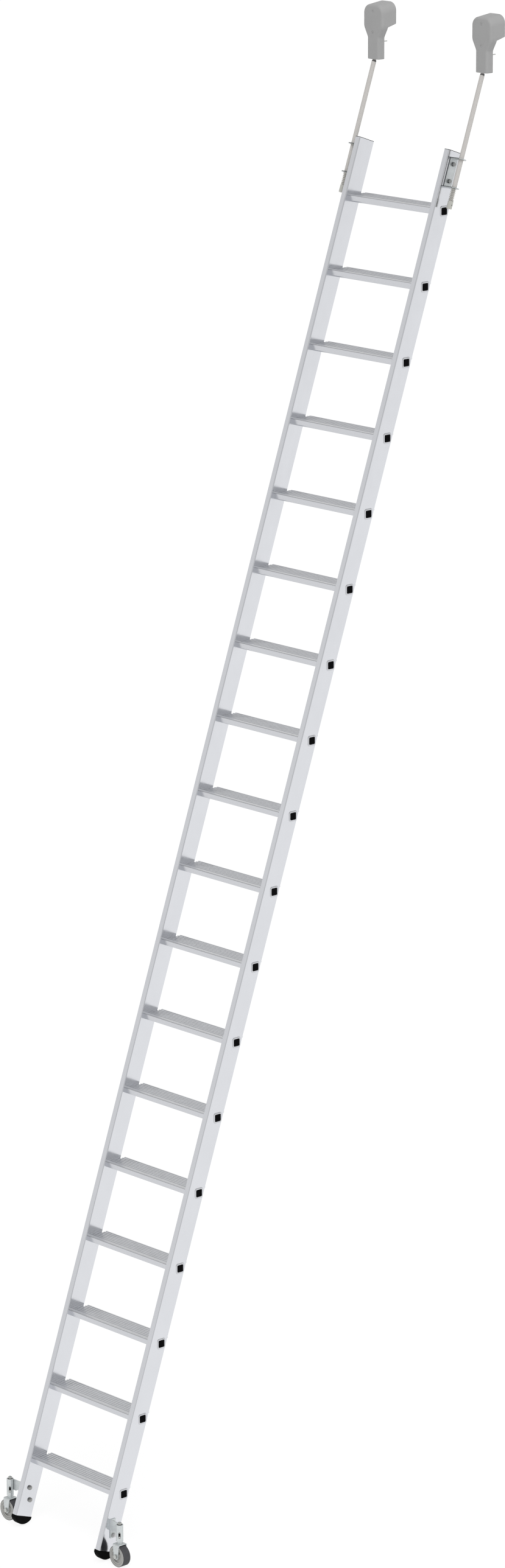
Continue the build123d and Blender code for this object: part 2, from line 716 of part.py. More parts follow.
def castor_housing(side):
    """The welded castor bracket: base on the stile, arched web and slotted vertical tube."""
    tube = extrude(Circle(tube_diameter / 2), tube_length)
    tube = Pos(castor_x, -castor_forward, tube_bottom) * tube
    base_y = (bracket_fold, bracket_fold + bracket_base_width)
    base_z = (bracket_base_low, bracket_base_low + bracket_base_height)
    base = block((outer_face, outer_face + bracket_sheet), base_y, base_z)
    web_top = tube_top - bracket_web_drop
    web_low = web_top - bracket_web_height
    web = block((outer_face, castor_x), (bracket_fold, bracket_fold + bracket_sheet), (web_low, web_top))
    arch_x = (outer_face + bracket_sheet + castor_x - tube_diameter / 2) / 2
    arch_z = web_low + bracket_arch_height - bracket_arch_radius
    web -= Pos(arch_x, 0, arch_z) * rod_along("y", -2 * castor_forward, 0, bracket_arch_radius)
    hole = rod_along("x", outer_face - bracket_sheet, outer_face + 2 * bracket_sheet,
                     bolt_diameter / 2 + fit_gap)
    for height in bracket_bolt_heights:
        base -= Pos(0, bracket_bolt_y, height) * hole
    housing = base + web + tube
    if side < 0:
        housing = mirror(housing, about=Plane.YZ)
    housing -= Pos(side * castor_x, -castor_forward, 0) * rod_along("z", 0, 2 * tube_top, tube_bore / 2)
    slot_plane = Plane((side * castor_x, -castor_forward, slot_middle), x_dir=(0, 0, 1), z_dir=slot_way())
    slot = slot_plane * SlotOverall(slot_length, slot_width)
    return housing - extrude(slot, tube_diameter, both=True)


def slot_way():
    """The direction in which the castor tube's slot faces."""
    return (sin(radians(slot_direction)), -cos(radians(slot_direction)), 0)


def castor_top_cap(side):
    """The disc in the top of a castor's tube that the stud slides through."""
    ring = Circle(tube_bore / 2 - fit_gap) - Circle(stud_diameter / 2 + stud_gap)
    return Pos(side * castor_x, -castor_forward, tube_top - tube_cap_height) * extrude(ring, tube_cap_height)


def castor_fork(side):
    """The castor's folded fork with its stem and stud."""
    outer = RectangleRounded(2 * fork_half, 2 * fork_top, fork_bend)
    inner_half = fork_half - fork_sheet
    outer -= RectangleRounded(2 * inner_half, 2 * (fork_top - fork_sheet), fork_bend - fork_sheet)
    strip = extrude(Plane.YZ * outer, fork_width / 2, both=True)
    crown = fork_top - fork_sheet - fork_bend
    side_view = make_face(Polyline((-fork_width / 2, fork_top), (fork_width / 2, fork_top),
                                   (fork_width / 2, crown), (fork_foot_width / 2, axle_z),
                                   (-fork_foot_width / 2, axle_z), (-fork_width / 2, crown), close=True))
    side_view += Pos(0, axle_z) * Circle(fork_foot_width / 2)
    fork = strip & extrude(Plane.XZ * side_view, 2 * fork_half, both=True)
    fork -= Pos(0, 0, axle_z) * rod_along("y", -fork_half, fork_half, axle_diameter / 2 + fit_gap)
    fork += rod_along("z", fork_top, shoulder_z, stem_diameter / 2)
    stud_top = tube_top + seat_gap + nut_height + bolt_tip
    fork += rod_along("z", shoulder_z, stud_top, stud_diameter / 2)
    pin_hole = Plane((0, 0, guide_pin_z), z_dir=slot_way()) * Circle(guide_pin_diameter / 2 + fit_gap)
    fork -= extrude(pin_hole, tube_diameter, both=True)
    return Pos(side * castor_x, -castor_forward, 0) * fork


def castor_pins(side):
    """The wheel's axle, the guide pin in the slot and the nut on top of the stud."""
    reach = fork_half + axle_head_height
    axle = rod_along("y", -reach, reach, axle_diameter / 2)
    for end in SIDES.values():
        axle += hexagon("y", end * fork_half, end * reach, axle_head_diameter)
    pin = extrude(Plane((0, 0, guide_pin_z), z_dir=slot_way()) * Circle(guide_pin_diameter / 2),
                  tube_diameter / 2, both=True)
    nut = hexagon("z", tube_top + seat_gap, tube_top + seat_gap + nut_height, nut_width)
    nut -= rod_along("z", 0, 2 * tube_top, stud_diameter / 2 + fit_gap)
    place = Pos(side * castor_x, -castor_forward, 0)
    return [place * Pos(0, 0, axle_z) * axle, place * pin, place * nut]


def wheel_hub(side):
    """The wheel's moulded centre: boss, dished web and stepped rim with a groove."""
    half = wheel_width / 2 - hub_inset
    boss = hub_boss_diameter / 2
    dish = hub_dish_diameter / 2
    groove = hub_groove_diameter / 2
    step = half - hub_step
    face = [(axle_diameter / 2 + running_gap, half), (boss, half), (boss, half - hub_recess),
            (dish, half - hub_recess), (dish, step), (groove - hub_groove_width, step),
            (groove - hub_groove_width, half - hub_groove_depth), (groove, half - hub_groove_depth),
            (groove, half), (wheel_diameter / 2 - tyre_thickness, half)]
    outline = Polyline(*face, *[(radius, -depth) for radius, depth in reversed(face)], close=True)
    return Pos(side * castor_x, -castor_forward, axle_z) * revolve(make_face(outline), Axis.Y)


def wheel_tyre(side):
    """The soft tyre on the wheel's rim, with rounded shoulders."""
    half = wheel_width / 2
    inner = wheel_diameter / 2 - tyre_thickness + fit_gap
    section = bar((inner, wheel_diameter / 2), (-half, half))
    section = fillet(section.vertices().sort_by(Axis.X)[-2:], tyre_edge_radius)
    return Pos(side * castor_x, -castor_forward, axle_z) * revolve(section, Axis.Y)


def pieces():
    """Every node of the ladder by name, as a list of its solids."""
    nodes = {}
    for index in range(tread_count):
        nodes[f"tread_{index + 1:02d}"] = [tread(index)]
    nodes["tread_end_plugs"] = tread_end_plugs()
    guide_bolts = []
    bracket_bolts = []
    paired = {"stile": stile, "foot": foot, "rod_guide": rod_guide, "rod": rod, "rod_collar": rod_collar,
              "rod_spring": rod_spring, "rod_bumper": rod_bumper, "head_cover": head_cover,
              "head_carrier": head_carrier, "head_pins": head_pins, "head_screws": head_screws,
              "rail_roller": rail_roller, "castor_housing": castor_housing, "castor_fork": castor_fork,
              "castor_pins": castor_pins, "castor_spring": castor_spring, "wheel_hub": wheel_hub,
              "wheel_tyre": wheel_tyre}
    for name, side in SIDES.items():
        for piece, make in paired.items():
            made = make(side)
            nodes[f"{piece}_{name}"] = made if isinstance(made, list) else [made]
        for run in guide_bolt_runs:
            guide_bolts.append(leaning * Pos(0, rod_depth, run) * guide_bolt(side))
        for height in bracket_bolt_heights:
            bracket_bolts.append(Pos(0, bracket_bolt_y, height) * cross_bolt(side))
    nodes["rod_guide_bolts"] = guide_bolts
    nodes["castor_housing_bolts"] = bracket_bolts
    nodes["stile_top_plugs"] = [stile_top_plug(side) for side in SIDES.values()]
    nodes["rod_guide_sleeves"] = [bush for side in SIDES.values() for bush in rod_guide_sleeves(side)]
    nodes["castor_top_caps"] = [castor_top_cap(side) for side in SIDES.values()]
    return nodes


def main():
    """Build the ladder, centre it over its footprint and write one file for each node."""
    nodes = pieces()
    solids = {name: [solid for shape in shapes for solid in shape.solids()] for name, shapes in nodes.items()}
    box = Compound([solid for group in solids.values() for solid in group]).bounding_box()
    home = Pos(0, -box.center().Y, 0)
    print("shift in Y", round(-box.center().Y, 4), "size", box.size)
    os.makedirs("parts", exist_ok=True)
    for name, group in solids.items():
        placed = [home * solid for solid in group]
        export_step(placed[0] if len(placed) == 1 else Compound(placed), f"parts/{name}.step")


main()
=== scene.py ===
"""Looks of a rolling shelf ladder: finishes, fine pieces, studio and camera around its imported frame."""
import logging
import math
from collections.abc import Sequence
from dataclasses import dataclass, replace
from enum import Enum

import bmesh
import bpy
from mathutils import Matrix, Vector


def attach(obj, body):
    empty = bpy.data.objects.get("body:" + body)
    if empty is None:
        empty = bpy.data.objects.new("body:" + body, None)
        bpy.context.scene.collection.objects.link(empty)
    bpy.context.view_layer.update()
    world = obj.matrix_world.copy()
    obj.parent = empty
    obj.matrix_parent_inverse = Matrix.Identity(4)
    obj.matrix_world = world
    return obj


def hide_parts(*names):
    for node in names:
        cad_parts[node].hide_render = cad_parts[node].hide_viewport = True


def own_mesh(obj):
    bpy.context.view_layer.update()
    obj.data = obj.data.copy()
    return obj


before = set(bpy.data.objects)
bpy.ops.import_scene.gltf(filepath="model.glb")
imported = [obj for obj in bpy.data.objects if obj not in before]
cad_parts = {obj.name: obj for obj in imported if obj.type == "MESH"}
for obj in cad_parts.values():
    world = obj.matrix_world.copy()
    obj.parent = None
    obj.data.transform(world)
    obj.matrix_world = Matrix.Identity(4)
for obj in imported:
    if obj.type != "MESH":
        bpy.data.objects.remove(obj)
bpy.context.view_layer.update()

LOG = logging.getLogger("shelf_ladder")
MM = 0.001
Pair = tuple[float, float]
Triple = tuple[float, float, float]
Colour = Triple
Scale = float | Triple
Socket = bpy.types.NodeSocket
Material = bpy.types.Material
Mesh = bpy.types.Mesh
LEAN = 19.17
UP = Vector((0.0, 0.0, 1.0))


class Side(Enum):
    """The two stiles, by the sign of their X."""

    LEFT = -1
    RIGHT = 1

    @property
    def label(self) -> str:
        """The word that ends the names of this side's nodes."""
        return self.name.lower()


class NodeBench:
    """A node tree, with a short way to add and join its nodes."""

    def __init__(self, tree: bpy.types.NodeTree) -> None:
        """Start with the tree empty."""
        self.tree = tree
        self.tree.nodes.clear()

    def node(self, kind: str, inputs: dict[str | int, object] | None = None,
             **settings: object) -> bpy.types.Node:
        """Add a node.

        Args:
            kind: The node's class, without its ShaderNode prefix.
            inputs: Socket values, or sockets to link, by input name or number.
            settings: Properties of the node itself.

        Returns:
            The new node.
        """
        made = self.tree.nodes.new(f"ShaderNode{kind}")
        for key, value in settings.items():
            setattr(made, key, value)
        for key, value in (inputs or {}).items():
            socket = made.inputs[key]
            if isinstance(value, Socket):
                self.tree.links.new(value, socket)
            else:
                socket.default_value = value
        return made

    def math(self, operation: str, *values: Socket | float) -> Socket:
        """Work out one value from others."""
        return self.node("Math", dict(enumerate(values)), operation=operation).outputs[0]

    def dot(self, first: Socket, second: Triple) -> Socket:
        """How far one direction or place goes along another."""
        return self.node("VectorMath", {0: first, 1: second}, operation="DOT_PRODUCT").outputs["Value"]

    def ramp(self, value: Socket, source: Pair,
             target: Pair = (0.0, 1.0)) -> Socket:
        """Carry a value from one range over to another, held at the ends."""
        ends = {"From Min": source[0], "From Max": source[1], "To Min": target[0], "To Max": target[1]}
        return self.node("MapRange", {"Value": value, **ends}).outputs["Result"]

    def between(self, factor: Socket, first: Socket | float, second: Socket | float) -> Socket:
        """Mix two values by a third, which is 0 at the first and 1 at the second."""
        return self.node("Mix", {0: factor, 2: first, 3: second}, data_type="FLOAT").outputs[0]

    def shiny(self) -> Socket:
        """Tell mirrored rays from the others."""
        path = self.node("LightPath").outputs
        return self.math("MAXIMUM", path["Is Glossy Ray"], path["Is Transmission Ray"])

    def seen(self) -> Socket:
        """Tell the rays that come from the eye from the others."""
        return self.node("LightPath").outputs["Is Camera Ray"]


class Board(NodeBench):
    """A material and the nodes that its finish is made of."""

    def __init__(self, name: str) -> None:
        """Start an empty material.

        Args:
            name: The material's name.
        """
        self.material = bpy.data.materials.new(name)
        self.material.use_nodes = True
        super().__init__(self.material.node_tree)
        self.output = self.node("OutputMaterial")

    def noise(self, scale: Scale, detail: float = 3.0, turn: float = 0.0) -> Socket:
        """Add noise that may be drawn out along one direction.

        Args:
            scale: Features per metre, in every direction or along X and along the turned Y and Z.
            detail: Number of finer layers.
            turn: Turn about X, in radians, that the drawn lines follow.

        Returns:
            The noise's value, from 0 to 1.
        """
        place = self.node("TexCoord").outputs["Object"]
        turned = self.node("VectorRotate", {"Vector": place, "Angle": turn}, rotation_type="X_AXIS")
        spans = scale if isinstance(scale, tuple) else (scale, scale, scale)
        drawn = self.node("VectorMath", {0: turned.outputs["Vector"], 1: spans}, operation="MULTIPLY")
        made = self.node("TexNoise", {"Vector": drawn.outputs["Vector"], "Scale": 1.0, "Detail": detail})
        return made.outputs["Fac"]

    def spread(self, value: Socket, low: float, high: float) -> Socket:
        """Stretch the middle of a noise value over a range."""
        return self.ramp(value, (0.3, 0.7), (low, high))

    def blend(self, factor: Socket, first: Colour | Socket, second: Colour | Socket) -> Socket:
        """Mix two colours by a value, which is 0 at the first and 1 at the second."""
        ends = [(*end, 1.0) if isinstance(end, tuple) else end for end in (first, second)]
        return self.node("Mix", {0: factor, 6: ends[0], 7: ends[1]}, data_type="RGBA").outputs[2]

    def shades(self, factor: Socket, colour: Colour, low: float, high: float) -> Socket:
        """Vary a colour between two levels, where 1 leaves it as it is, by a value from 0 to 1."""
        dark, light = (tuple(min(1.0, part * level) for part in colour) for level in (low, high))
        return self.blend(factor, dark, light)

    def facing(self, way: Triple, low: float, high: float) -> Socket:
        """Tell the faces that look one way, from a low to a high cosine, from the others."""
        normal = self.node("NewGeometry").outputs["Normal"]
        return self.ramp(self.dot(normal, way), (low, high))

    def bump(self, height: Socket, depth: float, strength: float = 1.0) -> Socket:
        """Turn a height into a surface direction, with its relief's depth in metres."""
        made = self.node("Bump", {"Height": height, "Distance": depth, "Strength": strength})
        return made.outputs["Normal"]

    def surface(self, inputs: dict[str, object]) -> Material:
        """Close the tree with a principled surface.

        Args:
            inputs: Its socket values or linked sockets by name.

        Returns:
            The finished material.
        """
        shader = self.node("BsdfPrincipled", inputs)
        self.tree.links.new(shader.outputs["BSDF"], self.output.inputs["Surface"])
        return self.material


@dataclass(frozen=True)
class DrawnMetal:
    """Bare metal with the fine lines of drawing or extrusion, cloudy gloss and light handling marks."""

    name: str
    colour: Colour
    roughness: float
    lines: Scale
    turn: float = 0.0
    cloud: float = 0.03
    line_depth: float = 0.00001
    metallic: float = 1.0

    def build(self) -> Material:
        """Make this finish.

        Returns:
            Its material.
        """
        board = Board(self.name)
        lines = board.noise(self.lines, 4.0, self.turn)
        clouds = board.noise(7.0, 5.0)
        marks = board.noise((38.0, 38.0, 24.0), 8.0)
        tint = board.shades(clouds, self.colour, 1.0 - self.cloud, 1.0 + self.cloud)
        drawn = board.spread(lines, self.roughness * 0.82, self.roughness * 1.18)
        handled = board.spread(marks, 0.0, self.roughness * 0.35)
        return board.surface({
            "Base Color": tint,
            "Metallic": self.metallic,
            "Roughness": board.math("ADD", drawn, handled),
            "Normal": board.bump(lines, self.line_depth, 0.3),
        })


@dataclass(frozen=True)
class TreadMetal:
    """Mill-finished extrusion whose upward faces are duller than its sides and painted paler, a painted
    highlight.
    """

    name: str
    colour: Colour
    top_highlight: Colour
    roughness: float
    walked_roughness: float
    lines: Triple

    def build(self) -> Material:
        """Make this finish.

        Returns:
            Its material.
        """
        board = Board(self.name)
        lines = board.noise(self.lines, 4.0)
        steps = board.noise((26.0, 60.0, 60.0), 6.0)
        # Upward faces are painted a paler colour, a painted highlight; their roughness is also duller.
        top = board.facing((0.0, 0.0, 1.0), 0.55, 0.95)
        side_tint = board.shades(lines, self.colour, 0.96, 1.04)
        top_tint = board.shades(board.spread(steps, 0.0, 1.0), self.top_highlight, 0.9, 1.1)
        side_gloss = board.spread(lines, self.roughness * 0.85, self.roughness * 1.2)
        top_gloss = board.spread(steps, self.walked_roughness * 0.85, self.walked_roughness * 1.15)
        return board.surface({
            "Base Color": board.blend(top, side_tint, top_tint),
            "Metallic": 1.0,
            "Roughness": board.between(top, side_gloss, top_gloss),
            "Normal": board.bump(lines, 0.00003, 0.4),
        })


@dataclass(frozen=True)
class Galvanised:
    """Zinc-coated steel with the soft grains of its coating, with painted shade on faces that look one way
    and in a band of heights.
    """

    name: str
    colour: Colour
    roughness: float
    grain: float = 260.0
    contrast: float = 0.05
    metallic: float = 1.0
    front_shade_way: Triple | None = None
    front_shade_colour: Colour = (0.13, 0.135, 0.14)
    band_shade_heights: Pair | None = None
    band_shade_colour: Colour = (0.012, 0.012, 0.013)

    def build(self) -> Material:
        """Make this finish.

        Returns:
            Its material.
        """
        board = Board(self.name)
        place = board.node("TexCoord").outputs["Object"]
        grains = board.node("TexVoronoi", {"Vector": place, "Scale": self.grain})
        level = board.node("SeparateColor", {"Color": grains.outputs["Color"]}).outputs["Red"]
        fine = board.noise(900.0, 2.0)
        stain = board.spread(board.noise(45.0, 6.0), 0.0, 1.0)
        tint = board.shades(level, self.colour, 1.0 - self.contrast, 1.0 + self.contrast)
        dull = board.shades(level, self.colour, 0.84, 0.95)
        aged = board.blend(stain, tint, dull)
        # Faces that look along this way are darkened: painted shade.
        if self.front_shade_way is not None:
            front_shade = board.shades(fine, self.front_shade_colour, 0.8, 1.2)
            aged = board.blend(board.facing(self.front_shade_way, 0.9, 0.98), aged, front_shade)
        # A near-black band between two heights: painted shade inside the tube's slot.
        if self.band_shade_heights is not None:
            low, high = self.band_shade_heights
            height = board.node("SeparateXYZ", {0: place}).outputs["Z"]
            band_shade = board.math("COMPARE", height, (low + high) / 2, (high - low) / 2)
            aged = board.blend(band_shade, aged, board.shades(fine, self.band_shade_colour, 0.8, 1.2))
        return board.surface({
            "Base Color": aged,
            "Metallic": self.metallic,
            "Roughness": board.spread(level, self.roughness * 0.88, self.roughness * 1.15),
            "Normal": board.bump(fine, 0.00003, 0.3),
        })


@dataclass(frozen=True)
class Moulded:
    """Moulded plastic with a spark-eroded grain and faintly uneven colour."""

    name: str
    colour: Colour
    roughness: float
    grain: float = 1400.0
    grain_depth: float = 0.00006
    cloud: float = 0.04
    gloss: float = 0.5

    def build(self) -> Material:
        """Make this finish.

        Returns:
            Its material.
        """
        board = Board(self.name)
        grain = board.noise(self.grain, 2.0)
        clouds = board.noise(22.0, 5.0)
        tint = board.shades(clouds, self.colour, 1.0 - self.cloud, 1.0 + self.cloud)
        return board.surface({
            "Base Color": tint,
            "Roughness": board.spread(grain, self.roughness * 0.88, self.roughness * 1.12),
            "Specular IOR Level": self.gloss,
            "Normal": board.bump(grain, self.grain_depth, 0.5),
        })


@dataclass(frozen=True)
class Rubber:
    """Dull rubber with a dusty bloom in its low spots and, on tyres, fine rolled bands."""

    name: str
    colour: Colour
    bloom: Colour
    roughness: float
    gloss: float = 0.2
    bands: float = 0.0

    def build(self) -> Material:
        """Make this finish.

        Returns:
            Its material.
        """
        board = Board(self.name)
        dust = board.noise(60.0, 6.0)
        grain = board.noise(1100.0, 2.0)
        relief = board.bump(grain, 0.00006, 0.5)
        if self.bands:
            place = board.node("TexCoord").outputs["Object"]
            rolled = board.node("TexWave", {"Vector": place, "Scale": self.bands, "Distortion": 0.6,
                                            "Detail": 2.0}, bands_direction="Y")
            bent = board.node("Bump", {"Height": rolled.outputs["Fac"], "Distance": 0.00015, "Strength": 0.5,
                                       "Normal": relief})
            relief = bent.outputs["Normal"]
        return board.surface({
            "Base Color": board.blend(board.spread(dust, 0.0, 0.6), self.colour, self.bloom),
            "Roughness": board.spread(dust, self.roughness * 0.9, min(1.0, self.roughness * 1.15)),
            "Specular IOR Level": self.gloss,
            "Normal": relief,
        })


Finish = DrawnMetal | TreadMetal | Galvanised | Moulded | Rubber
SHEET = Galvanised("galvanised_sheet", (0.66, 0.695, 0.70), 0.4, metallic=0.6)
ZINC = Galvanised("zinc_bolts", (0.58, 0.59, 0.57), 0.34, 420.0)
WIRE = DrawnMetal("spring_wire", (0.80, 0.79, 0.75), 0.36, 800.0)


@dataclass(frozen=True)
class LadderPlan:
    """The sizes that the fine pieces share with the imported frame, in millimetres and degrees."""

    lean: float = LEAN
    outer_width: float = 490.0
    tread_count: int = 18
    tread_pitch: float = 280.0
    first_tread: float = 237.85
    shift: float = -828.7385
    rod_x: float = 282.5
    rod_depth: float = -15.4
    pivot_run: float = 5293.0
    castor_x: float = 307.4
    castor_y: float = -73.8

    def leaning(self) -> Matrix:
        """The place of the stiles' own axes: X across, Y through their depth and Z along them."""
        turn = Matrix.Rotation(math.radians(-self.lean), 4, "X")
        return Matrix.Translation((0.0, self.shift * MM, self.first_tread * MM)) @ turn

    def along(self) -> Vector:
        """The direction up the stiles."""
        return self.leaning().to_3x3() @ UP

    def tenon(self, index: int) -> Vector:
        """The centre of one tread's tenon."""
        return self.leaning() @ Vector((0.0, 0.0, index * self.tread_pitch * MM))

    def on_rod(self, side: Side, run: float) -> Vector:
        """The point on a rod's axis at a distance up the stile from the lowest tenon."""
        return self.leaning() @ Vector((side.value * self.rod_x * MM, self.rod_depth * MM, run * MM))

    def on_castor(self, side: Side, height: float) -> Vector:
        """The point on a castor's upright axis at a height above the floor."""
        return Vector((side.value * self.castor_x, self.castor_y + self.shift, height)) * MM


class Workshop:
    """Makes meshes and sets finished pieces on the bodies they move with."""

    merge_gap: float = 0.00002
    flat_angle: float = 0.5
    edge_angle: float = 40.0

    def __init__(self) -> None:
        """Start with no finishes made."""
        self.finishes: dict[str, Material] = {}

    def finish(self, kind: Finish) -> Material:
        """Make a finish once.

        Args:
            kind: The finish.

        Returns:
            Its material.
        """
        if kind.name not in self.finishes:
            self.finishes[kind.name] = kind.build()
        return self.finishes[kind.name]

    def dress(self, node: str, kind: Finish) -> None:
        """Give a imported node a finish.

        Args:
            node: The node's name.
            kind: The finish.
        """
        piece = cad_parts[node]
        piece.data.materials.clear()
        piece.data.materials.append(self.finish(kind))
        LOG.info("dressed %s in %s", node, kind.name)

    def soften(self, node: str, width: float) -> None:
        """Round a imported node's sharp edges a little.

        Args:
            node: The node's name.
            width: Width of the rounding, in metres.
        """
        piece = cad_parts[node]
        weld = piece.modifiers.new("joined corners", "WELD")
        weld.merge_threshold = self.merge_gap
        flat = piece.modifiers.new("whole flats", "DECIMATE")
        flat.decimate_type = "DISSOLVE"
        flat.angle_limit = math.radians(self.flat_angle)
        bevel = piece.modifiers.new("soft edges", "BEVEL")
        bevel.width = width
        bevel.segments = 2
        bevel.limit_method = "ANGLE"
        bevel.angle_limit = math.radians(self.edge_angle)
        self.even(piece)

    @staticmethod
    def even(piece: bpy.types.Object) -> None:
        """Shade a piece by its larger faces, so that its flats look flat up to their rounded edges."""
        smooth = piece.modifiers.new("even shading", "WEIGHTED_NORMAL")
        smooth.keep_sharp = True

    def piece(self, name: str, mesh: Mesh, body: str, slot: str,
              kind: Finish) -> bpy.types.Object:
        """Set a new mesh on a body.

        Args:
            name: The piece's name.
            mesh: Its mesh, already in place.
            body: The body it moves with.
            slot: The record's material slot for it; not used.
            kind: Its finish.

        Returns:
            The new object.
        """
        made = bpy.data.objects.new(name, mesh)
        bpy.context.scene.collection.objects.link(made)
        mesh.materials.clear()
        mesh.materials.append(self.finish(kind))
        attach(made, body)
        LOG.info("made %s on %s", name, body)
        return made

    @staticmethod
    def pointing(foot: Vector, way: Vector) -> Matrix:
        """The place of a piece that stands on a point with its Z axis pointing one way."""
        turn = UP.rotation_difference(way)
        return Matrix.Translation(foot) @ turn.to_matrix().to_4x4()

    @staticmethod
    def mesh(name: str, work: bmesh.types.BMesh) -> Mesh:
        """Turn a drawing into a mesh and drop the drawing.

        Args:
            name: The mesh's name.
            work: The drawing.

        Returns:
            The mesh.
        """
        made = bpy.data.meshes.new(name)
        work.to_mesh(made)
        work.free()
        return made

    def drive_shade_ring(self, name: str, foot: Vector, way: Vector, radius: float) -> Mesh:
        """A thin six-sided dark ring on a screw's face: painted shade for the recess of its hex socket.

        Args:
            name: The mesh's name.
            foot: The middle of the screw's face.
            way: The direction that the face looks in.
            radius: The ring's radius, in metres.

        Returns:
            The mesh.
        """
        inner, rise = 0.0006, 0.00006
        profile = [(inner, 0.0), (radius, 0.0), (radius, rise), (inner, rise)]
        return self.lathe(name, profile, self.pointing(foot, way), 6)

    def lathe(self, name: str, profile: Sequence[Pair], place: Matrix,
              sides: int = 40) -> Mesh:
        """A closed ring turned about the Z axis of its place.

        Args:
            name: The mesh's name.
            profile: Radius and height of each corner of the ring's section, in metres, in order round it.
            place: Where the ring sits.
            sides: Facets round the ring.

        Returns:
            The mesh.
        """
        work = bmesh.new()
        rows = []
        for k in range(sides):
            turn = 2 * math.pi * k / sides
            way = Vector((math.cos(turn), math.sin(turn), 0.0))
            rows.append([work.verts.new(place @ (way * radius + UP * height)) for radius, height in profile])
        count = len(profile)
        for k in range(sides):
            here, after = rows[k], rows[(k + 1) % sides]
            for j in range(count):
                work.faces.new((here[j], after[j], after[(j + 1) % count], here[(j + 1) % count]))
        bmesh.ops.recalc_face_normals(work, faces=work.faces)
        return self.mesh(name, work)

    def join(self, name: str, meshes: Sequence[Mesh]) -> Mesh:
        """Several meshes made into one.

        Args:
            name: The new mesh's name.
            meshes: The meshes, which are then removed.

        Returns:
            The joined mesh.
        """
        work = bmesh.new()
        for mesh in meshes:
            work.from_mesh(mesh)
            bpy.data.meshes.remove(mesh)
        return self.mesh(name, work)

    def thread(self, name: str, foot: Vector, way: Vector, length: float, radius: float,
               pitch: float) -> Mesh:
        """The ridge of a screw thread on a plain shank.

        Args:
            name: The mesh's name.
            foot: The shank's axis where the thread starts.
            way: The direction of the axis.
            length: Length of the thread, in metres.
            radius: Radius of the shank, in metres.
            pitch: Rise in one turn, in metres.

        Returns:
            The mesh.
        """
        first = way.orthogonal().normalized()
        second = way.cross(first)
        per_turn, ridge, sides = 24, 0.3, 6
        count = max(8, round(length / pitch * per_turn))
        points = []
        for step in range(count + 1):
            rise = length * step / count
            turn = 2 * math.pi * rise / pitch
            points.append(foot + way * rise + (first * math.cos(turn) + second * math.sin(turn)) * radius)
        return self.tube(name, points, [pitch * ridge] * len(points), sides)

    def weld(self, name: str, start: Vector, end: Vector, radius: float) -> Mesh:
        """A weld bead with its ripples, between two points.

        Args:
            name: The mesh's name.
            start: Where the bead starts.
            end: Where it ends.
            radius: Its mean radius, in metres.

        Returns:
            The mesh.
        """
        count, sides = 44, 10
        least, swell, beat, taper = 0.86, 0.22, 0.9, 0.25
        points = [start.lerp(end, k / count) for k in range(count + 1)]
        radii = [radius * (least + swell * abs(math.sin(k * beat))) for k in range(count + 1)]
        for tip in (0, count):
            radii[tip] -= taper * radius
        return self.tube(name, points, radii, sides)

    def turned(self, name: str, foot: Vector, way: Vector,
               profile: Sequence[Pair]) -> Mesh:
        """A solid turned about a line, from the radius and height of each ring, in millimetres."""
        points = [foot + way * height * MM for _, height in profile]
        return self.tube(name, points, [radius * MM for radius, _ in profile], 40)

    def tube(self, name: str, points: Sequence[Vector], radii: Sequence[float],
             sides: int = 14) -> Mesh:
        """A round solid along points, with closed ends.

        Args:
            name: The mesh's name.
            points: The solid's centre line.
            radii: Its radius at each point, in metres.
            sides: Facets round it.

        Returns:
            The mesh.
        """
        work = bmesh.new()
        rings = []
        turns = [2 * math.pi * k / sides for k in range(sides)]
        across = (points[1] - points[0]).orthogonal().normalized()
        for index, (point, radius) in enumerate(zip(points, radii)):
            before = points[max(index - 1, 0)]
            after = points[min(index + 1, len(points) - 1)]
            way = (after - before).normalized()
            across = (across - way * across.dot(way)).normalized()
            third = way.cross(across)
            rings.append([work.verts.new(point + (across * math.cos(t) + third * math.sin(t)) * radius)
                          for t in turns])
        for low, high in zip(rings, rings[1:]):
            for k in range(sides):
                face = work.faces.new((low[k], low[(k + 1) % sides], high[(k + 1) % sides], high[k]))
                face.smooth = True
        work.faces.new(list(reversed(rings[0])))
        work.faces.new(rings[-1])
        return self.mesh(name, work)


@dataclass
class CoilSpring:
    """A compression spring with close end turns, standing along one direction."""

    diameter: float
    wire: float
    turns: int
    length: float
    end_gap: float = 0.6
    steps: int = 40

    def rise(self, turn: float) -> float:
        """Work out how high the wire has climbed.

        Args:
            turn: Turns from the lower end.

        Returns:
            Height of the wire's centre, in millimetres.
        """
        close = self.wire + self.end_gap
        pitch = (self.length - self.wire - 2 * close) / (self.turns - 2)
        if turn <= 1:
            return self.wire / 2 + close * turn
        if turn >= self.turns - 1:
            return self.length - self.wire / 2 - close * (self.turns - turn)
        return self.wire / 2 + close + pitch * (turn - 1)

    def points(self, base: Matrix) -> list[Vector]:
        """The wire's centre line.

        Args:
            base: The place of the spring's lower end, with Z along the spring.

        Returns:
            Points along the wire, in metres.
        """
        radius = (self.diameter - self.wire) / 2
        line = []
        for step in range(self.turns * self.steps + 1):
            turn = step / self.steps
            angle = 2 * math.pi * turn
            local = Vector((radius * math.cos(angle), radius * math.sin(angle), self.rise(turn)))
            line.append(base @ (local * MM))
        return line

    def build(self, shop: Workshop, name: str, base: Matrix) -> Mesh:
        """The spring's mesh, standing on its base."""
        line = self.points(base)
        return shop.tube(name, line, [self.wire / 2 * MM] * len(line))


